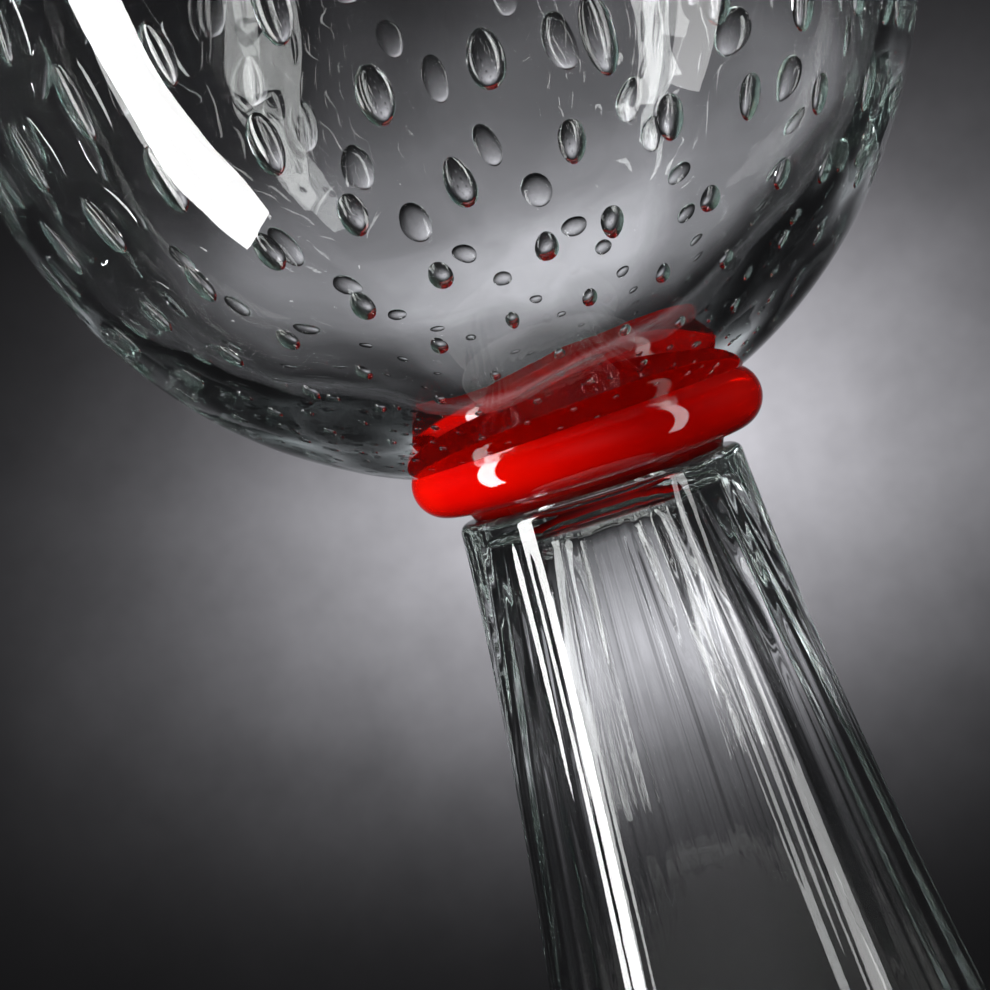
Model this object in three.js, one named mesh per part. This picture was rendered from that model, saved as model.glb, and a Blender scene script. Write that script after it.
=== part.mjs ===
// Hand blown footed vase, in millimetres, +Z up.
// A thick clear globe with rows of trapped air bubbles stands on a hollow flared foot.
// A short clear neck joins them, inside a thick ring of red glass that is pressed between them.
// The origin is straight below the bowl's centre, in the plane of the foot's flat base.

import * as THREE from 'three';

// Driving dimensions
const bowlRadius = 95;
const bowlHalfHeight = 100;
const mouthRadius = 57;
const bottomWall = 12;
const mouthWall = 5;
const wallTaper = 3;
const casingThickness = 3;
const footHeight = 160;
const footTopRadius = 30;
const footFlare = 21.6;
const footFlarePower = 1.35;
const baseLipFlare = 3.4;
const baseLipPower = 10;
const footWall = 6;
const footShoulderWall = 8;
const footShoulderReach = 65;
const footTopThickness = 3.5;
const footDomeHeight = 3;
const footDomePower = 2;
const neckRadius = 13;
const bowlAboveFoot = 5.7;
const ringCentreRadius = 30.3;
const ringThickness = 13.6;
const ringAboveFoot = 9;
const ringSeatRadius = 26.5;
const ringSeatSlope = 1;

// Joined by eye while hot: the foot, the neck and the ring stand to one side of the bowl's axis
const footOffset = 3.7;

// The mould that pricks the bubbles: studs in each row, and the row across the bowl's lower side
// that the other rows are counted from
const studsPerRow = 30;
const firstRowAngle = THREE.MathUtils.degToRad(67.2);
const lowestRow = -7;
const highestRow = 7;
const pitDepth = 1.3;

// Roundings, gaps and facets
const shoulderRounding = 2;
const baseRounding = 1.2;
const jointGap = 0.3;
const pressedGap = 0.4;
const bowlSides = 2 * studsPerRow;
const roundSides = 48;
const ringRimSteps = 10;
const ringTopSteps = 4;
const lipSteps = 3;
const innerBowlSteps = 12;
const footOutsideSteps = 11;
const footDomeSteps = 4;
const footInsideSteps = 12;
const roundingSteps = 3;
const neckTopSteps = 3;

const clearGlass = new THREE.MeshStandardMaterial({
  color: 0xdfe7e6, roughness: 0.02, metalness: 0, transparent: true, opacity: 0.35,
});
const redGlass = new THREE.MeshStandardMaterial({ color: 0xd00806, roughness: 0.03, metalness: 0 });

const bowlCentreZ = footHeight + bowlAboveFoot + bowlHalfHeight;
const mouthAngle = Math.PI - Math.asin(mouthRadius / bowlRadius);

// The bowl is a spheroid on the axis. Its angles are measured at its centre, up from its lowest
// point. A point lies a depth under the outside surface, square to it.
function bowlPoint(angle, depth) {
  const outward = new THREE.Vector2(
    Math.sin(angle) / bowlRadius,
    -Math.cos(angle) / bowlHalfHeight,
  ).normalize();
  return new THREE.Vector2(
    bowlRadius * Math.sin(angle) - depth * outward.x,
    bowlCentreZ - bowlHalfHeight * Math.cos(angle) - depth * outward.y,
  );
}

// Height of the bowl's underside at a distance from the axis
function bowlUndersideZ(r) {
  return bowlCentreZ - bowlHalfHeight * Math.sqrt(1 - (r / bowlRadius) ** 2);
}

// Glass thickness of the bowl: heavy at the bottom, thinning towards the mouth
function wallAt(angle) {
  return mouthWall + (bottomWall - mouthWall) * ((1 + Math.cos(angle)) / 2) ** wallTaper;
}

// The studs stand in an even triangular pattern on the small gather. Blowing it up into a globe
// keeps the pattern's shape, so the rows are even steps of log(tan(angle / 2)).
const rowPitch = (Math.PI / studsPerRow) * Math.sqrt(3);
const firstRowLevel = Math.log(Math.tan(firstRowAngle / 2));

function rowAngle(row) {
  return 2 * Math.atan(Math.exp(firstRowLevel + row * rowPitch));
}

// Angles of the facet rings below, on and above the bubble rows, from the lowest point upward
function bowlRingAngles() {
  const lowest = rowAngle(lowestRow);
  const angles = [0, lowest / 3, (2 * lowest) / 3];
  for (let row = lowestRow; row <= highestRow; row += 1) {
    angles.push(rowAngle(row));
  }
  angles.push(mouthAngle);
  return angles;
}

// A rounded half lip at the mouth, from the surface at `from` to the tip of the wall over `to`
function lipPoints(from, to, steps) {
  const along = new THREE.Vector2(-Math.abs(to.y - from.y), Math.abs(to.x - from.x)).normalize();
  const reach = from.distanceTo(to);
  const across = from.clone().sub(to).divideScalar(reach);
  const points = [];
  for (let step = 1; step <= steps; step += 1) {
    const turn = (step / steps) * (Math.PI / 2);
    points.push(
      to.clone()
        .addScaledVector(across, reach * Math.cos(turn))
        .addScaledVector(along, reach * Math.sin(turn)),
    );
  }
  return points;
}

// The foot, the neck and the ring are turned about the foot's own axis
function turnedOnFootAxis(outline) {
  return turned(outline, roundSides).translate(footOffset, 0, 0);
}

// Flattens what was pressed up against the bowl to the bowl's underside
function pressUnderBowl(geometry) {
  const position = geometry.attributes.position;
  for (let index = 0; index < position.count; index += 1) {
    const r = Math.hypot(position.getX(index), position.getY(index));
    const highest = bowlUndersideZ(r) - pressedGap;
    position.setZ(index, Math.min(position.getZ(index), highest));
  }
  return geometry;
}

function arcPoints(centreR, centreZ, radius, fromAngle, toAngle, steps) {
  const points = [];
  for (let step = 0; step <= steps; step += 1) {
    const angle = fromAngle + ((toAngle - fromAngle) * step) / steps;
    points.push(new THREE.Vector2(
      centreR + radius * Math.cos(angle),
      centreZ + radius * Math.sin(angle),
    ));
  }
  return points;
}

function turned(outline, sides) {
  const geometry = new THREE.LatheGeometry(outline, sides);
  geometry.rotateX(Math.PI / 2);
  return geometry;
}

// The clear overlay: from the bottom up the outside, over its half of the lip, down the inside
function casingGeometry() {
  const angles = bowlRingAngles();
  const outside = angles.map((angle) => bowlPoint(angle, 0));
  const inside = angles.map((angle) => bowlPoint(angle, casingThickness)).reverse();
  const lip = lipPoints(outside[outside.length - 1], inside[0], lipSteps);
  return turned([...outside, ...lip, ...inside], bowlSides);
}

// Pushes every second corner of each bubble row in towards the bowl's centre
function pressPits(geometry, outlineLength) {
  const position = geometry.attributes.position;
  const centre = new THREE.Vector3(0, 0, bowlCentreZ);
  const corner = new THREE.Vector3();
  const inward = new THREE.Vector3();
  const firstRing = bowlRingAngles().length - 1 - (highestRow - lowestRow + 1);
  for (let row = 0; row <= highestRow - lowestRow; row += 1) {
    for (let side = row % 2; side <= bowlSides; side += 2) {
      const index = side * outlineLength + firstRing + row;
      corner.fromBufferAttribute(position, index);
      inward.copy(centre).sub(corner).setLength(pitDepth);
      position.setXYZ(index, corner.x + inward.x, corner.y + inward.y, corner.z + inward.z);
    }
  }
  return firstRing;
}

// Turns the facets' diagonals so that none runs from one pit to the next: each pit is separate
function separatePits(geometry, outlineLength, firstRing) {
  const index = geometry.index;
  const cornersPerFacet = 6;
  for (let row = -1; row <= highestRow - lowestRow; row += 1) {
    for (let side = 0; side < bowlSides; side += 1) {
      if ((row + side) % 2 === 0) continue;
      const low = side * outlineLength + firstRing + row;
      const next = low + outlineLength;
      const start = (side * (outlineLength - 1) + firstRing + row) * cornersPerFacet;
      [low, next, next + 1, low, next + 1, low + 1].forEach((corner, place) => {
        index.setX(start + place, corner);
      });
    }
  }
}

// The bubbled gather: pitted outside, its half of the lip, smooth cavity
function gatherGeometry() {
  const gatherInset = casingThickness + jointGap;
  const outside = bowlRingAngles().map((angle) => bowlPoint(angle, gatherInset));
  const inside = [];
  for (let step = innerBowlSteps; step >= 0; step -= 1) {
    const angle = (mouthAngle * step) / innerBowlSteps;
    inside.push(bowlPoint(angle, wallAt(angle)));
  }
  const lip = lipPoints(inside[0], outside[outside.length - 1], lipSteps).reverse();
  const outline = [...outside, ...lip, ...inside];
  const geometry = turned(outline, bowlSides);
  const firstRing = pressPits(geometry, outline.length);
  separatePits(geometry, outline.length, firstRing);
  return geometry;
}

const ringRadius = ringThickness / 2;
const ringCentreZ = footHeight + ringAboveFoot;

// The red ring: a thick collar with a round rim and a hole for the neck. Below it stands on the
// foot, above it is flattened against the bowl.
function ringGeometry() {
  const holeRadius = neckRadius + jointGap;
  const seat = [
    new THREE.Vector2(holeRadius, footHeight + jointGap),
    new THREE.Vector2(ringSeatRadius, footHeight + jointGap),
    new THREE.Vector2(ringSeatRadius + ringSeatSlope, ringCentreZ - ringRadius),
  ];
  const rim = arcPoints(
    ringCentreRadius, ringCentreZ, ringRadius, -Math.PI / 2, Math.PI / 2, ringRimSteps,
  );
  const top = [];
  for (let step = 1; step <= ringTopSteps; step += 1) {
    const r = ringCentreRadius + ((holeRadius - ringCentreRadius) * step) / ringTopSteps;
    top.push(new THREE.Vector2(r, ringCentreZ + ringRadius));
  }
  return pressUnderBowl(turnedOnFootAxis([...seat, ...rim, ...top, seat[0]]));
}

// The neck: a short clear post through the ring, dished by the bowl that rests on it
function neckGeometry() {
  const bottomZ = footHeight + jointGap;
  const top = [];
  for (let step = 0; step <= neckTopSteps; step += 1) {
    top.push(new THREE.Vector2(neckRadius * (1 - step / neckTopSteps), ringCentreZ));
  }
  return pressUnderBowl(turnedOnFootAxis([
    new THREE.Vector2(0, bottomZ),
    new THREE.Vector2(neckRadius, bottomZ),
    ...top,
  ]));
}

// Outside radius of the foot at a depth below its flat top
function footRadius(depth) {
  const share = depth / footHeight;
  return footTopRadius + footFlare * share ** footFlarePower + baseLipFlare * share ** baseLipPower;
}

// Inside radius of the foot at a depth below its flat top: the wall thickens towards the shoulder,
// and the closed end of the hollow is a low dome
function footCavityRadius(depth) {
  const towardsTop = Math.max(0, 1 - depth / footShoulderReach);
  const wall = footWall + footShoulderWall * towardsTop ** 2;
  const belowTop = Math.min(1, (depth - footTopThickness) / footDomeHeight);
  return (footRadius(depth) - wall) * Math.sqrt(1 - (1 - belowTop) ** footDomePower);
}

// The blown foot: closed at the top, open below, with a ground flat rim
function footGeometry() {
  const cavity = [];
  for (let step = 0; step <= footDomeSteps; step += 1) {
    const depth = footTopThickness + footDomeHeight * (step / footDomeSteps) ** 2;
    cavity.push(new THREE.Vector2(footCavityRadius(depth), footHeight - depth));
  }
  const domeBottom = footTopThickness + footDomeHeight;
  for (let step = 1; step <= footInsideSteps; step += 1) {
    const depth = domeBottom + ((footHeight - domeBottom) * step) / footInsideSteps;
    cavity.push(new THREE.Vector2(footCavityRadius(depth), footHeight - depth));
  }
  const outside = [new THREE.Vector2(footRadius(footHeight) - baseRounding, 0)];
  for (let step = footOutsideSteps; step >= 0; step -= 1) {
    const depth = shoulderRounding
      + ((footHeight - shoulderRounding - baseRounding) * step) / footOutsideSteps;
    outside.push(new THREE.Vector2(footRadius(depth), footHeight - depth));
  }
  const shoulder = arcPoints(
    footRadius(shoulderRounding) - shoulderRounding, footHeight - shoulderRounding,
    shoulderRounding, 0, Math.PI / 2, roundingSteps,
  ).slice(1);
  return turnedOnFootAxis([
    ...cavity, ...outside, ...shoulder, new THREE.Vector2(0, footHeight),
  ]);
}

const pieces = [
  ['bowl_inner_gather', gatherGeometry(), clearGlass],
  ['bowl_outer_casing', casingGeometry(), clearGlass],
  ['neck', neckGeometry(), clearGlass],
  ['red_ring', ringGeometry(), redGlass],
  ['foot', footGeometry(), clearGlass],
];

const vase = new THREE.Group();
pieces.forEach(([name, geometry, material]) => {
  const mesh = new THREE.Mesh(geometry, material);
  mesh.name = name;
  vase.add(mesh);
});

export default vase;
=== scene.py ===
"""Looks of the hand blown footed vase, in metres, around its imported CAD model.

The bowl's axis is the Z axis. The foot, the neck and the ring stand a little to its +X side.
Where two pieces are fused, their faces overlap by a hair and bend no light, as one glass does.
"""

import math

import bpy
import numpy as np
from mathutils import Matrix, Vector


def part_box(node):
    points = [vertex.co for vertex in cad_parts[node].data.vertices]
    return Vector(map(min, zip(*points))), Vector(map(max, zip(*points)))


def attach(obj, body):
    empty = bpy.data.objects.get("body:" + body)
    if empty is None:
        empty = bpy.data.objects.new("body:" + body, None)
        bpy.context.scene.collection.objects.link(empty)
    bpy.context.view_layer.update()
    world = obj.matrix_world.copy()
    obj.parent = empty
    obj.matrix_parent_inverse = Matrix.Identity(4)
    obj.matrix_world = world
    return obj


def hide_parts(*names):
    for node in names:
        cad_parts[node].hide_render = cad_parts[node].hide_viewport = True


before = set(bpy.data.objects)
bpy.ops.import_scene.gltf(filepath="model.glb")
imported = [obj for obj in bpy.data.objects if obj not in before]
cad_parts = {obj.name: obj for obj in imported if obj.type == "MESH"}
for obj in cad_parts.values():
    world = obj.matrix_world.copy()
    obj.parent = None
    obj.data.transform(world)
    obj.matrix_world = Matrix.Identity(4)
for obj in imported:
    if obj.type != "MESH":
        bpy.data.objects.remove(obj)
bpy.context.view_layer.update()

MM = 0.001

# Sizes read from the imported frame
foot_low, foot_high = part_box("foot")
foot_height = foot_high.z
foot_axis_x = (foot_low.x + foot_high.x) / 2
bowl_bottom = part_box("bowl_outer_casing")[0].z

# The bowl
bowl_radius = 95 * MM
bowl_half_height = 100 * MM
bowl_centre_z = bowl_bottom + bowl_half_height
mouth_radius = 57 * MM
mouth_angle = math.pi - math.asin(mouth_radius / bowl_radius)
bottom_wall = 12 * MM
mouth_wall = 5 * MM
wall_taper = 3
fused_overlap = 0.05 * MM

# The bubbles: an even triangular pattern, counted in rows from one across the lower side
bubbles_per_row = 30
row_pitch = math.pi / bubbles_per_row * math.sqrt(3)
first_row_angle = math.radians(67.2)
lowest_row, highest_row = -7, 7
first_bubble_turn = math.radians(4)
bubble_depth = 3 * MM
bubble_flatness = 0.32

# The bubbles behind, where the cosine of their turn from -Y is under this
back_begins = -0.1
back_bubble_flatness = 0.13
back_bubble_growth = 1.6
back_bubble_shortening = 0.7

# How uneven the bubbles are
bubble_slip = math.radians(0.5)
bubble_tilt = math.radians(5)
bubble_lean = 0.18
width_spread = 0.06
length_spread = 0.07

# The bulge in the bowl's surface over each bubble, as shares of the bubble's size
bulge_width = 0.75
bulge_length = 0.6
bulge_height = 0.055
bulge_reach = 4 * MM

# The waves that handwork leaves in the bowl
outside_waves = 10
outside_wave_height = 0.12 * MM
inside_waves = 12
inside_wave_height = 0.2 * MM
shortest_wave = 25 * MM
longest_wave = 90 * MM

# The bowl's lower rings are slid towards the foot's axis, inside this radius and this far down
slide_radius = 80 * MM
slide_below_centre = 30 * MM
# The bulges and waves grow over this distance from the ring
free_reach = 12 * MM

# The ring and the neck
ring_centre_radius = 30.3 * MM
ring_centre_z = foot_height + 9 * MM
ring_radius = 6.8 * MM
neck_radius = 13 * MM
ring_seat_radius = 26.5 * MM
ring_seat_slope = 1 * MM
seat_gap = 0.1 * MM

# The foot
foot_top_radius = 30 * MM
foot_flare = 21.6 * MM
foot_flare_power = 1.35
base_lip_flare = 3.4 * MM
base_lip_power = 10
foot_wall = 6 * MM
foot_shoulder_wall = 8 * MM
foot_shoulder_reach = 65 * MM
foot_top_thickness = 3.5 * MM
foot_dome_height = 3 * MM
foot_dome_power = 2
shoulder_rounding = 2 * MM
base_rounding = 1.2 * MM

# The upright ribs in the foot: how many go round, how high they are and how far they lean
fewest_ribs, most_ribs = 5, 63
inside_rib_height = 0.5 * MM
outside_rib_height = 0.45 * MM
rib_fade = 10 * MM
rib_drift = 0.35
rib_drift_height = 40 * MM

glass_ior = 1.5
lamp_target_z = 220 * MM
sharp_angle = math.radians(35)

chance = np.random.default_rng(11)


# ---------- shapes ----------

def bowl_outline(angles, depth):
    """Radius and height of a layer at a depth under the bowl's surface, at angles from its bottom."""
    across = np.sin(angles) / bowl_radius
    along = -np.cos(angles) / bowl_half_height
    length = np.hypot(across, along)
    r = bowl_radius * np.sin(angles) - depth * across / length
    z = bowl_centre_z - bowl_half_height * np.cos(angles) - depth * along / length
    return np.column_stack([r, z])


def bowl_wall(angles):
    """Thickness of the bowl's glass: heavy at the bottom, thinning towards the mouth."""
    return mouth_wall + (bottom_wall - mouth_wall) * ((1 + np.cos(angles)) / 2) ** wall_taper


def underside_z(x, y):
    """Height of the bowl's underside."""
    r = np.minimum(np.hypot(x, y) / bowl_radius, 1)
    return bowl_centre_z - bowl_half_height * np.sqrt(1 - r ** 2)


def turned_faces(rings, sides, closed):
    """Quads between neighbouring rings of corners. closed joins the last ring to the first."""
    strips = rings if closed else rings - 1
    lower = np.arange(strips)[:, None] * sides
    upper = (np.arange(strips)[:, None] + 1) % rings * sides
    here = np.arange(sides)[None, :]
    after = (here + 1) % sides
    quads = np.stack([lower + here, lower + after, upper + after, upper + here], axis=-1)
    return quads.reshape(-1, 4)


def turned_points(outline, sides):
    """Corners of an outline of radius and height turned about Z, from -Y to +X, ring by ring."""
    turn = np.arange(sides) * (2 * math.pi / sides)
    r, z = outline[:, 0][:, None], outline[:, 1][:, None]
    return np.stack([r * np.sin(turn), -r * np.cos(turn), z + 0 * turn], axis=-1)


def capped(points, sides):
    """Corners and faces of a turned sheet whose end rings, at the axis, become one corner each."""
    faces = turned_faces(len(points) // sides, sides, closed=False)
    start = points[:sides].mean(axis=0)
    end = points[-sides:].mean(axis=0)
    inner = points[sides:-sides]
    kept = faces[sides:-sides] - sides
    around = np.arange(sides)
    after = (around + 1) % sides
    last = len(inner) - sides
    first_fan = [(len(inner), int(b), int(a)) for a, b in zip(around, after)]
    last_fan = [(len(inner) + 1, last + int(a), last + int(b)) for a, b in zip(around, after)]
    return np.vstack([inner, start, end]), [*first_fan, *kept.tolist(), *last_fan]


def mesh_piece(name, points, faces, fused, material):
    """A smooth shaded mesh object. fused marks the faces that are one glass with the next piece."""
    mesh = bpy.data.meshes.new(name)
    mesh.from_pydata([tuple(p) for p in points], [], [tuple(int(i) for i in f) for f in faces])
    mark = mesh.attributes.new("fused", "FLOAT", "FACE")
    mark.data.foreach_set("value", np.asarray(fused, dtype=np.float32))
    mesh.polygons.foreach_set("use_smooth", [True] * len(mesh.polygons))
    mesh.set_sharp_from_angle(angle=sharp_angle)
    mesh.materials.append(material)
    mesh.update()
    piece = bpy.data.objects.new(name, mesh)
    bpy.context.scene.collection.objects.link(piece)
    return piece


def closed_turned(outline, sides, fused_strips, shape=None):
    """Corners, faces and fused marks of an outline turned about Z whose two ends are on the axis."""
    points = turned_points(outline, sides)
    if shape is not None:
        points = shape(points)
    points, faces = capped(points.reshape(-1, 3), sides)
    marks = np.repeat(np.asarray(fused_strips, dtype=float), sides)
    return points, faces, marks


def waviness(points, waves, amplitude):
    """A smooth, irregular height over the points: a sum of sine waves in random directions."""
    directions = chance.normal(size=(waves, 3))
    directions /= np.linalg.norm(directions, axis=1)[:, None]
    lengths = np.geomspace(shortest_wave, longest_wave, waves)
    phases = chance.uniform(0, 2 * math.pi, waves)
    height = np.zeros(points.shape[:-1])
    for direction, length, phase in zip(directions, lengths, phases):
        height += length * np.sin(2 * math.pi / length * (points @ direction) + phase)
    return amplitude * height / lengths.max()


# ---------- bubbles ----------

def row_angle(row):
    """Angle of a bubble row up from the bowl's bottom. Blowing keeps the stud pattern's shape."""
    first_row_level = math.log(math.tan(first_row_angle / 2))
    return 2 * math.atan(math.exp(first_row_level + row * row_pitch))


def bubble_size(angle):
    """Width across and length up the bowl of a bubble at an angle: longest at the bowl's widest."""
    degrees = math.degrees(angle)
    at = [20, 30, 36, 42, 50, 58, 67, 77, 90, 115, 143]
    widths = [1.3, 1.5, 2.0, 2.45, 3.7, 4.4, 5.2, 5.5, 5.5, 5.2, 4.5]
    lengths = [1.4, 1.8, 2.6, 3.6, 5.2, 7.1, 10, 12, 12, 11, 9]
    return np.interp(degrees, at, widths) * MM, np.interp(degrees, at, lengths) * MM


def bubble_places():
    """Every bubble as its angle up, its turn about Z, its width, its length and its thickness.

    Behind, every second bubble is left out, and the rest are larger and flatter.
    """
    places = []
    for row in range(lowest_row, highest_row + 1):
        offset = first_bubble_turn + (row % 2) * math.pi / bubbles_per_row
        for place in range(bubbles_per_row):
            angle = row_angle(row)
            width, length = bubble_size(angle)
            turn = offset + place * 2 * math.pi / bubbles_per_row
            behind = math.cos(turn) < back_begins
            if behind and (place + row // 2) % 2:
                continue
            if behind:
                width = back_bubble_growth * width
                length = back_bubble_shortening * back_bubble_growth * length
            slip_up, slip_round, grow, stretch = chance.normal(size=4)
            places.append((
                angle + bubble_slip * slip_up,
                turn + bubble_slip * slip_round / math.sin(angle),
                width * (1 + width_spread * grow),
                length * (1 + length_spread * stretch),
                width * (back_bubble_flatness if behind else bubble_flatness),
            ))
    return places


def bubble_frame(angle, turn):
    """The middle of a bubble, and the directions round the bowl, up along it and out of it."""
    r, z = bowl_outline(np.array([angle]), bubble_depth)[0]
    outward = np.array([math.sin(angle) / bowl_radius, -math.cos(angle) / bowl_half_height])
    outward /= np.linalg.norm(outward)
    out = np.array([outward[0] * math.sin(turn), -outward[0] * math.cos(turn), outward[1]])
    round_bowl = np.array([math.cos(turn), math.sin(turn), 0])
    middle = np.array([r * math.sin(turn), -r * math.cos(turn), z])
    return middle, round_bowl, np.cross(out, round_bowl), out


def bubble_shell(width, length, thickness):
    """An egg shaped shell about the origin, X across, Y along and Z out of the glass, facing inward."""
    coarse, fine = 9, 14
    small_width, small_length = 3 * MM, 6 * MM
    around = fine if width > small_width else coarse
    along = fine if length > small_length else coarse
    lean = bubble_lean * chance.normal()
    steps = np.arange(along + 1) * math.pi / along
    belly = np.sin(steps) * (1 + 0.5 * lean * np.cos(steps))
    outline = np.column_stack([belly, -np.cos(steps)])
    points, faces, marks = closed_turned(outline, around, np.zeros(along))
    points = points[:, [0, 2, 1]] * np.array([width / 2, length / 2, -thickness / 2])
    return points, [face[::-1] for face in faces]


def add_bubbles(points, faces, marks, places):
    """The bowl's mesh with a hollow shell for every bubble."""
    parts, all_faces, total = [points], list(faces), len(points)
    for angle, turn, width, length, thickness in places:
        shell, shell_faces = bubble_shell(width, length, thickness)
        tilt = bubble_tilt * chance.normal()
        middle, round_bowl, up, out = bubble_frame(angle, turn)
        across = math.cos(tilt) * round_bowl + math.sin(tilt) * up
        along = math.cos(tilt) * up - math.sin(tilt) * round_bowl
        parts.append(middle + shell @ np.array([across, along, out]))
        all_faces += [[i + total for i in face] for face in shell_faces]
        total += len(shell)
    added = len(all_faces) - len(faces)
    return np.vstack(parts), all_faces, np.concatenate([marks, np.zeros(added)])


def bulge_over_bubbles(points, places):
    """How far the surface is pushed out by the bubbles under it."""
    height = np.zeros(points.shape[:-1])
    for angle, turn, width, length, thickness in places:
        middle, across, along, out = bubble_frame(angle, turn)
        away = points - (middle + out * bubble_depth)
        near = (away @ across / (bulge_width * width)) ** 2
        near += (away @ along / (bulge_length * length)) ** 2
        near += (away @ out / bulge_reach) ** 2
        height += np.exp(-near) * thickness * bulge_height
    return height


# ---------- the contact between the bowl, the ring and the neck ----------

def level_ring(turn, rho, z):
    """Corners at a height and a distance from the foot's axis, from -Y towards +X."""
    return np.column_stack([
        foot_axis_x + rho * np.sin(turn), -rho * np.cos(turn), z + 0 * turn,
    ])


def pressed_z(turn, rho):
    """Height of the bowl's fused underside at a distance from the foot's axis."""
    return underside_z(foot_axis_x + rho * np.sin(turn), -rho * np.cos(turn)) + fused_overlap


def rim_point(angle):
    """Distance from the foot's axis and height of the ring's rim, at an angle up from its widest."""
    return ring_centre_radius + ring_radius * np.cos(angle), ring_centre_z + ring_radius * np.sin(angle)


def ring_crossing(turn, start, end):
    """The angle up the ring's rim, between start and end, where it meets the bowl's fused underside."""
    halvings = 40
    start, end = np.full_like(turn, start), np.full_like(turn, end)
    for _ in range(halvings):
        middle = (start + end) / 2
        rho, z = rim_point(middle)
        under = z < pressed_z(turn, rho)
        start = np.where(under, middle, start)
        end = np.where(under, end, middle)
    return start


def contact_circle():
    """Centre X and radius of the circle where the ring's outer side meets the bowl."""
    sides = np.array([-math.pi / 2, math.pi / 2])
    rho, _ = rim_point(ring_crossing(sides, 0, math.pi / 2))
    x = foot_axis_x + rho * np.sin(sides)
    return x.mean(), (x[1] - x[0]) / 2


# ---------- the pieces ----------

def slid_to_ring(rings, contact_x, contact_radius):
    """Slides the bowl's lower rings along its underside, so that one runs where the red ring ends."""
    r = np.hypot(rings[..., 0], rings[..., 1])
    share = np.clip((slide_radius - r) / (slide_radius - contact_radius), 0, 1)
    lower = rings[..., 2] < bowl_centre_z - slide_below_centre
    slid = rings.copy()
    slid[..., 0] += contact_x * share
    slid[..., 2] = np.where(lower, underside_z(slid[..., 0], slid[..., 1]), rings[..., 2])
    return np.where(lower[..., None], slid, rings)


def uneven_outside(rings, places, contact_x, contact_radius):
    """The bowl's outside with its bulges and waves, which stop short of the red ring."""
    out = rings - np.array([0, 0, bowl_centre_z])
    out = out / np.array([bowl_radius ** 2, bowl_radius ** 2, bowl_half_height ** 2])
    out /= np.linalg.norm(out, axis=-1)[..., None]
    push = bulge_over_bubbles(rings, places)
    push += waviness(rings, outside_waves, outside_wave_height)
    from_ring = np.hypot(rings[..., 0] - contact_x, rings[..., 1]) - contact_radius
    free = np.clip(from_ring / free_reach, 0, 1)
    free = np.where(rings[..., 2] > bowl_centre_z, 1, free)
    return rings + out * (push * free)[..., None]


def uneven_inside(rings):
    """The bowl's inside with its waves."""
    out = rings - np.array([0, 0, bowl_centre_z])
    out /= np.linalg.norm(out, axis=-1)[..., None]
    return rings + out * waviness(rings, inside_waves, inside_wave_height)[..., None]


def bowl_piece(material):
    """The globe: one wall of glass from the bottom up the outside, over the lip and down the inside."""
    sides = 240
    places = bubble_places()
    contact_x, contact_radius = contact_circle()
    contact_angle = math.asin(contact_radius / bowl_radius)
    fused_steps, outer_steps, inner_steps, lip_steps = 6, 96, 52, 8
    outer_angles = np.concatenate([
        np.linspace(0, contact_angle, fused_steps + 1)[:-1],
        np.linspace(contact_angle, mouth_angle, outer_steps + 1),
    ])
    inner_angles = np.linspace(mouth_angle, 0, inner_steps + 1)
    outer = bowl_outline(outer_angles, 0)
    inner = bowl_outline(inner_angles, bowl_wall(inner_angles))
    middle = (outer[-1] + inner[0]) / 2
    half = (outer[-1] - inner[0]) / 2
    upward = np.array([-half[1], half[0]])
    lip_turns = np.linspace(0, math.pi, lip_steps + 2)[1:-1, None]
    lip = middle + half * np.cos(lip_turns) + upward * np.sin(lip_turns)
    outline = np.vstack([outer, lip, inner])
    outer_rings = len(outer)

    def shape(points):
        outside = slid_to_ring(points[:outer_rings], contact_x, contact_radius)
        points[:outer_rings] = uneven_outside(outside, places, contact_x, contact_radius)
        inner_start = outer_rings + lip_steps
        points[inner_start:] = uneven_inside(points[inner_start:])
        return points

    strips = len(outline) - 1
    fused_strips = np.arange(strips) < fused_steps
    points, faces, marks = closed_turned(outline, sides, fused_strips, shape)
    points, faces, marks = add_bubbles(points, faces, marks, places)
    return mesh_piece("bowl_glass", points, faces, marks, material)


def ring_piece(material):
    """The red collar: a thick disc with a round rim and a hole for the neck, between foot and bowl."""
    sides, rim_steps, top_steps, hole_steps, seat_steps = 240, 36, 12, 3, 4
    turn = np.arange(sides) * (2 * math.pi / sides)
    outer = ring_crossing(turn, 0, math.pi / 2)
    hole_radius = neck_radius - fused_overlap
    seat_z = foot_height + seat_gap
    rings = []
    for step in range(rim_steps + 1):
        angle = -math.pi / 2 + (outer + math.pi / 2) * step / rim_steps
        rings.append(level_ring(turn, *rim_point(angle)))
    outer_rho, _ = rim_point(outer)
    for step in range(1, top_steps + 1):
        rho = outer_rho + (hole_radius - outer_rho) * step / top_steps
        rings.append(level_ring(turn, rho, pressed_z(turn, rho)))
    hole_top_z = rings[-1][:, 2]
    for step in range(1, hole_steps + 1):
        z = hole_top_z + (seat_z - hole_top_z) * step / hole_steps
        rings.append(level_ring(turn, hole_radius, z))
    for step in range(1, seat_steps + 1):
        rho = hole_radius + (ring_seat_radius - hole_radius) * step / seat_steps
        rings.append(level_ring(turn, rho, seat_z))
    rings.append(level_ring(turn, ring_seat_radius + ring_seat_slope, ring_centre_z - ring_radius))
    points = np.vstack(rings)
    faces = turned_faces(len(rings), sides, closed=True)
    strips = np.arange(len(rings))
    fused = (strips >= rim_steps) & (strips < rim_steps + top_steps + hole_steps)
    return mesh_piece("ring_glass", points, faces, np.repeat(fused, sides), material)


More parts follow.
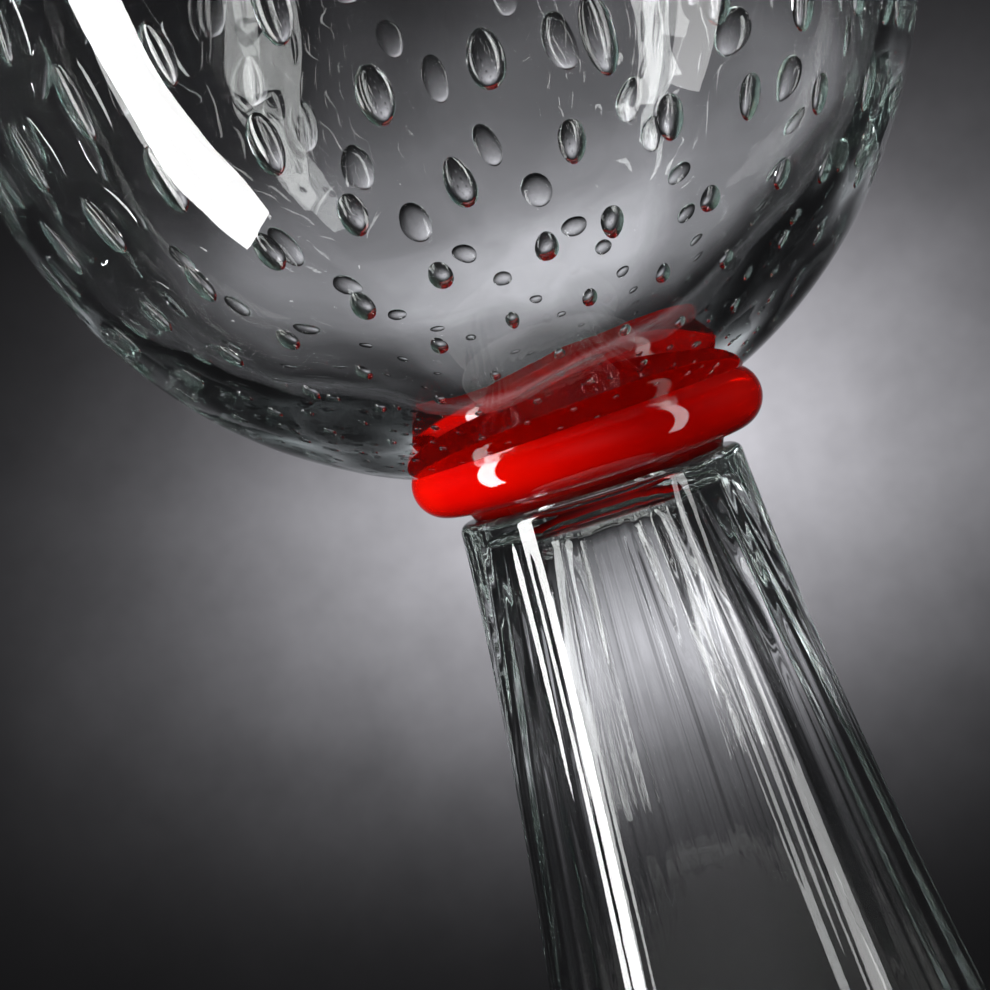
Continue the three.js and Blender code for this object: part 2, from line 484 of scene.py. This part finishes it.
def neck_piece(material):
    """The neck: a short clear post from the foot, through the collar, to the bowl, fused all over."""
    sides, side_steps, top_steps = 240, 4, 6
    turn = np.arange(sides) * (2 * math.pi / sides)
    bottom_z = foot_height - fused_overlap
    rings = [level_ring(turn, rho, bottom_z) for rho in (0, neck_radius / 2)]
    for step in range(side_steps + 1):
        z = bottom_z + (pressed_z(turn, neck_radius) - bottom_z) * step / side_steps
        rings.append(level_ring(turn, neck_radius, z))
    for step in range(1, top_steps + 1):
        rho = neck_radius * (1 - step / top_steps)
        rings.append(level_ring(turn, rho, pressed_z(turn, rho)))
    points, faces = capped(np.vstack(rings), sides)
    return mesh_piece("neck_glass", points, faces, np.ones(len(faces)), material)


def foot_radius(depth):
    """Outside radius of the foot at a depth below its top."""
    share = depth / foot_height
    flare = foot_flare * share ** foot_flare_power
    base_lip = base_lip_flare * share ** base_lip_power
    return foot_top_radius + flare + base_lip


def foot_cavity_radius(depth):
    """Inside radius of the foot at a depth below its top."""
    wall = foot_wall + foot_shoulder_wall * np.maximum(0, 1 - depth / foot_shoulder_reach) ** 2
    below_top = np.minimum(1, (depth - foot_top_thickness) / foot_dome_height)
    return (foot_radius(depth) - wall) * np.sqrt(1 - (1 - below_top) ** foot_dome_power)


def optic_waves(turn, z):
    """The uneven upright ribs left in the foot by the blowing and the stretching."""
    height = np.zeros(np.broadcast(turn, z).shape)
    for count in range(fewest_ribs, most_ribs + 1):
        size = chance.normal() / count
        phase = chance.uniform(0, 2 * math.pi)
        drift = chance.normal() * rib_drift
        height += size * np.sin(count * turn + phase + drift * z / rib_drift_height)
    return height


def add_ribs(rings, turn, top_z, rib_height):
    """Pushes rings of the foot in and out by its ribs, which fade towards a top height and the base."""
    z = rings[..., 2]
    share = np.clip((top_z - z) / rib_fade, 0, 1) * np.clip(z / rib_fade, 0, 1)
    push = rib_height * optic_waves(turn, z) * share
    r = np.maximum(np.hypot(rings[..., 0], rings[..., 1]), MM)
    rings[..., :2] *= (1 + push / r)[..., None]


def foot_piece(material):
    """The hollow foot: from the top of the cavity down the inside, round the base and up the outside."""
    sides, dome_steps, inside_steps, outside_steps, rounding_steps = 480, 24, 40, 60, 6
    dome_shares = (np.arange(dome_steps + 1) / dome_steps) ** 2
    dome = foot_top_thickness + foot_dome_height * dome_shares
    dome_bottom = foot_top_thickness + foot_dome_height
    inside = np.linspace(dome_bottom, foot_height, inside_steps + 1)[1:]
    depths = np.concatenate([dome, inside])
    cavity = np.column_stack([foot_cavity_radius(depths), foot_height - depths])
    base_radius = foot_radius(foot_height)
    base_turns = np.linspace(-math.pi / 2, 0, rounding_steps + 1)
    base = np.column_stack([
        base_radius - base_rounding + base_rounding * np.cos(base_turns),
        base_rounding + base_rounding * np.sin(base_turns),
    ])
    base_depth = foot_height - base_rounding
    outside_depths = np.linspace(base_depth, shoulder_rounding, outside_steps + 1)[1:]
    outside = np.column_stack([foot_radius(outside_depths), foot_height - outside_depths])
    shoulder_turns = np.linspace(0, math.pi / 2, rounding_steps + 1)[1:]
    shoulder_centre = foot_radius(shoulder_rounding) - shoulder_rounding
    shoulder = np.column_stack([
        shoulder_centre + shoulder_rounding * np.cos(shoulder_turns),
        foot_height - shoulder_rounding + shoulder_rounding * np.sin(shoulder_turns),
    ])
    fused_top = np.array([[neck_radius, foot_height], [neck_radius / 2, foot_height], [0, foot_height]])
    outline = np.vstack([cavity, base, outside, shoulder, fused_top])
    cavity_rings = len(cavity)
    outside_start = cavity_rings + len(base)
    fused_start = len(outline) - len(fused_top)
    turn = (np.arange(sides) * (2 * math.pi / sides))[None, :]

    def shape(points):
        cavity_top_z = foot_height - foot_top_thickness
        add_ribs(points[:cavity_rings], turn, cavity_top_z, inside_rib_height)
        add_ribs(points[outside_start:fused_start], turn, foot_height, outside_rib_height)
        points[..., 0] += foot_axis_x
        return points

    strips = np.arange(len(outline) - 1)
    points, faces, marks = closed_turned(outline, sides, strips >= fused_start, shape)
    return mesh_piece("foot_glass", points, faces, marks, material)


# ---------- materials ----------

def new_material(name):
    """A material with a node tree that holds only a Principled shader and the output."""
    material = bpy.data.materials.new(name)
    material.use_nodes = True
    return material, material.node_tree, material.node_tree.nodes["Principled BSDF"]


def node(tree, kind, **values):
    """A new node with its properties or inputs set by name."""
    made = tree.nodes.new(kind)
    for name, value in values.items():
        if hasattr(made, name):
            setattr(made, name, value)
        else:
            made.inputs[name.replace("_", " ")].default_value = value
    return made


def fused_ior(tree, shader):
    """The glass bends light, except on its fused faces."""
    shader.inputs["IOR"].default_value = glass_ior
    mark = node(tree, "ShaderNodeAttribute", attribute_name="fused")
    bend = node(tree, "ShaderNodeMapRange")
    bend.inputs["To Min"].default_value = glass_ior
    bend.inputs["To Max"].default_value = 1.0
    tree.links.new(mark.outputs["Fac"], bend.inputs["Value"])
    tree.links.new(bend.outputs["Result"], shader.inputs["IOR"])


def surface_ripple(tree, shader, scale, strength, distance):
    """Faint ripples left in the surface by the heat."""
    where = node(tree, "ShaderNodeTexCoord")
    ripple = node(tree, "ShaderNodeTexNoise", Scale=scale, Detail=2.0)
    bump = node(tree, "ShaderNodeBump", Strength=strength, Distance=distance)
    tree.links.new(where.outputs["Object"], ripple.inputs["Vector"])
    tree.links.new(ripple.outputs["Fac"], bump.inputs["Height"])
    tree.links.new(bump.outputs["Normal"], shader.inputs["Normal"])


def clear_glass():
    """Clear soda glass, faintly green where it is thick."""
    material, tree, shader = new_material("clear_blown_glass")
    shader.inputs["Base Color"].default_value = (1, 1, 1, 1)
    shader.inputs["Roughness"].default_value = 0.0
    shader.inputs["Transmission Weight"].default_value = 1.0
    fused_ior(tree, shader)
    surface_ripple(tree, shader, scale=28.0, strength=0.12, distance=2 * MM)
    absorb = node(tree, "ShaderNodeVolumeAbsorption", Density=5.0)
    absorb.inputs["Color"].default_value = (0.62, 0.86, 0.80, 1)
    tree.links.new(absorb.outputs["Volume"], tree.nodes["Material Output"].inputs["Volume"])
    return material


def red_glass():
    """Deep red glass, dense enough to glow where light falls on it, with painted shade that darkens its
    colour towards its seat on the foot.
    """
    # How dark the painted shade makes the red at the seat, as a share of its full colour.
    painted_shade_level = 0.12
    material, tree, shader = new_material("red_blown_glass")
    where = node(tree, "ShaderNodeTexCoord")
    streaks = node(tree, "ShaderNodeTexNoise", Scale=35.0, Detail=3.0)
    shade = node(tree, "ShaderNodeValToRGB")
    shade.color_ramp.elements[0].position = 0.3
    shade.color_ramp.elements[0].color = (0.75, 0.0, 0.0, 1)
    shade.color_ramp.elements[1].position = 0.65
    shade.color_ramp.elements[1].color = (1.0, 0.004, 0.0, 1)
    tree.links.new(where.outputs["Object"], streaks.inputs["Vector"])
    tree.links.new(streaks.outputs["Fac"], shade.inputs["Fac"])
    split = node(tree, "ShaderNodeSeparateXYZ")
    tree.links.new(where.outputs["Object"], split.inputs["Vector"])
    # Painted shade: the red's colour is scaled down with height, darkest at the seat, to stand in for
    # the shade under the ring.
    painted_seat_shade = node(tree, "ShaderNodeMapRange", interpolation_type="SMOOTHSTEP")
    painted_seat_shade.inputs["From Min"].default_value = foot_height
    painted_seat_shade.inputs["From Max"].default_value = ring_centre_z - ring_radius / 3
    painted_seat_shade.inputs["To Min"].default_value = painted_shade_level
    tree.links.new(split.outputs["Z"], painted_seat_shade.inputs["Value"])
    colour = node(tree, "ShaderNodeVectorMath", operation="SCALE")
    tree.links.new(shade.outputs["Color"], colour.inputs[0])
    tree.links.new(painted_seat_shade.outputs["Result"], colour.inputs["Scale"])
    tree.links.new(colour.outputs[0], shader.inputs["Base Color"])
    surface_ripple(tree, shader, scale=40.0, strength=0.15, distance=2 * MM)
    shader.inputs["Roughness"].default_value = 0.0
    shader.inputs["Transmission Weight"].default_value = 0.42
    fused_ior(tree, shader)
    return material


def pale_floor():
    """Matt off-white plaster."""
    material, tree, shader = new_material("pale_plaster")
    shader.inputs["Base Color"].default_value = (0.62, 0.61, 0.60, 1)
    shader.inputs["Roughness"].default_value = 0.8
    surface_ripple(tree, shader, scale=400.0, strength=0.1, distance=0.5 * MM)
    return material


# ---------- stage ----------

def studio_backdrop():
    """A dark studio with a soft, clouded pale glow behind the vase and faint light all round."""
    backdrop_tint = (1.0, 0.985, 1.06)
    darkest_level = 0.006
    glow_softness = 0.92
    cloud_depth, cloud_floor = 0.9, 0.55
    world = bpy.data.worlds.new("studio")
    bpy.context.scene.world = world
    world.use_nodes = True
    tree = world.node_tree
    shade = tree.nodes["Background"]
    where = node(tree, "ShaderNodeTexCoord")
    split = node(tree, "ShaderNodeSeparateXYZ")
    tree.links.new(where.outputs["Generated"], split.inputs["Vector"])

    def maths(operation, *inputs):
        made = node(tree, "ShaderNodeMath", operation=operation)
        for socket, value in zip(made.inputs, inputs):
            if isinstance(value, (int, float)):
                socket.default_value = value
            else:
                tree.links.new(value, socket)
        return made.outputs[0]

    def glow(turn, width, rise, height, level):
        """A soft round patch of light at a turn from +Y and a rise over the horizon, in degrees."""
        side = maths("WRAP", maths("SUBTRACT", azimuth, math.radians(turn)), math.pi, -math.pi)
        side = maths("DIVIDE", side, math.radians(width))
        above = maths("SUBTRACT", up, math.radians(rise))
        above = maths("DIVIDE", above, math.radians(height))
        spread = maths("ADD", maths("MULTIPLY", side, side), maths("MULTIPLY", above, above))
        spread = maths("POWER", spread, glow_softness)
        return maths("MULTIPLY", maths("EXPONENT", maths("MULTIPLY", spread, -0.5)), level)

    azimuth = maths("ARCTAN2", split.outputs["X"], split.outputs["Y"])
    up = maths("ARCSINE", split.outputs["Z"])
    clouds = node(tree, "ShaderNodeTexNoise", Scale=9.0, Detail=4.0, Roughness=0.6)
    tree.links.new(where.outputs["Generated"], clouds.inputs["Vector"])
    mottle = maths("ADD", maths("MULTIPLY", clouds.outputs[0], cloud_depth), cloud_floor)
    behind = glow(turn=1.2, width=9.4, rise=-3.1, height=6.1, level=0.64)
    behind = maths("MULTIPLY", behind, mottle)
    in_front = glow(turn=180, width=20, rise=0, height=14, level=0.12)
    right = glow(turn=90, width=20, rise=5, height=12, level=0.04)
    left = glow(turn=-90, width=20, rise=5, height=12, level=0.04)
    sides = maths("ADD", right, left)
    level = maths("ADD", maths("ADD", maths("ADD", behind, in_front), sides), darkest_level)
    colour = node(tree, "ShaderNodeVectorMath", operation="SCALE")
    colour.inputs[0].default_value = backdrop_tint
    tree.links.new(level, colour.inputs["Scale"])
    tree.links.new(colour.outputs[0], shade.inputs["Color"])
    shade.inputs["Strength"].default_value = 1.0


def softbox(name, azimuth, width, low, high, distance, radiance):
    """A tall strip light facing the vase. Its angles, in degrees, are as seen from the lamps' target
    in the lower half of the bowl, with azimuth 0 towards -Y. The radiance sets its brightness."""
    target = Vector((0, 0, lamp_target_z))
    turn = math.radians(azimuth)
    bottom = distance * math.tan(math.radians(low))
    top = distance * math.tan(math.radians(high))
    across = 2 * distance * math.tan(math.radians(width / 2))
    light = bpy.data.lights.new(name, "AREA")
    light.shape = "RECTANGLE"
    light.size = across
    light.size_y = top - bottom
    light.energy = radiance * math.pi * across * (top - bottom)
    lamp = bpy.data.objects.new(name, light)
    lamp.location = target + Vector((
        distance * math.sin(turn), -distance * math.cos(turn), (top + bottom) / 2,
    ))
    lamp.rotation_euler = (math.pi / 2, 0, turn)
    lamp.visible_camera = False
    bpy.context.scene.collection.objects.link(lamp)


def floor_piece():
    """A small round pale plate under the foot."""
    radius, thickness, rounding, sides = 68 * MM, 8 * MM, 2 * MM, 160
    turns = np.linspace(-math.pi / 2, math.pi / 2, 9)
    edge = np.column_stack([
        radius - rounding + rounding * np.cos(turns),
        np.where(turns < 0, rounding - thickness, -rounding) + rounding * np.sin(turns),
    ])
    outline = np.vstack([[0, -thickness], edge, [0, 0]])

    def shape(points):
        points[..., 0] += foot_axis_x
        return points

    points, faces, marks = closed_turned(outline, sides, np.zeros(len(outline) - 1), shape)
    return mesh_piece("floor", points, faces, marks, pale_floor())


def camera():
    """The photograph's view: close up, tipped slightly down and rolled, so that the vase leans."""
    yaw, pitch, roll = math.radians(4.27), math.radians(-2.77), math.radians(17.40)
    place = (foot_axis_x, -0.2831, 0.1775)
    ahead = math.cos(pitch)
    forward = Vector((-math.sin(yaw) * ahead, math.cos(yaw) * ahead, math.sin(pitch)))
    level = forward.cross(Vector((0, 0, 1))).normalized()
    upright = level.cross(forward)
    right = level * math.cos(roll) - upright * math.sin(roll)
    up = level * math.sin(roll) + upright * math.cos(roll)
    data = bpy.data.cameras.new("camera")
    data.lens = 49.96
    data.sensor_width = 36
    data.clip_start = 0.01
    made = bpy.data.objects.new("camera", data)
    made.matrix_world = Matrix.Translation(place) @ Matrix((
        (right.x, up.x, -forward.x, 0),
        (right.y, up.y, -forward.y, 0),
        (right.z, up.z, -forward.z, 0),
        (0, 0, 0, 1),
    ))
    bpy.context.scene.collection.objects.link(made)
    bpy.context.scene.camera = made


def render_settings():
    """Enough bounces to see through every wall of the glass, with true colours."""
    scene = bpy.context.scene
    scene.cycles.max_bounces = 48
    scene.cycles.transmission_bounces = 48
    scene.cycles.glossy_bounces = 24
    scene.cycles.diffuse_bounces = 4
    scene.cycles.volume_bounces = 0
    scene.cycles.use_denoising = True
    scene.view_settings.view_transform = "Standard"


# ---------- the vase ----------

camera()
render_settings()
clear, red = clear_glass(), red_glass()

vase = [
    (bowl_piece(clear), ["bowl_inner_gather", "bowl_outer_casing"], "clear_glass"),
    (neck_piece(clear), ["neck"], "clear_glass"),
    (ring_piece(red), ["red_ring"], "red_glass"),
    (foot_piece(clear), ["foot"], "clear_glass"),
]
for piece, nodes, slot in vase:
    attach(piece, "root")
    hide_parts(*nodes)

floor_piece()
studio_backdrop()
softbox("left_softbox", azimuth=-65.5, width=13.5, low=-33, high=45, distance=1.0, radiance=22)
softbox("right_softbox", azimuth=61, width=11, low=-36, high=45, distance=1.0, radiance=6)
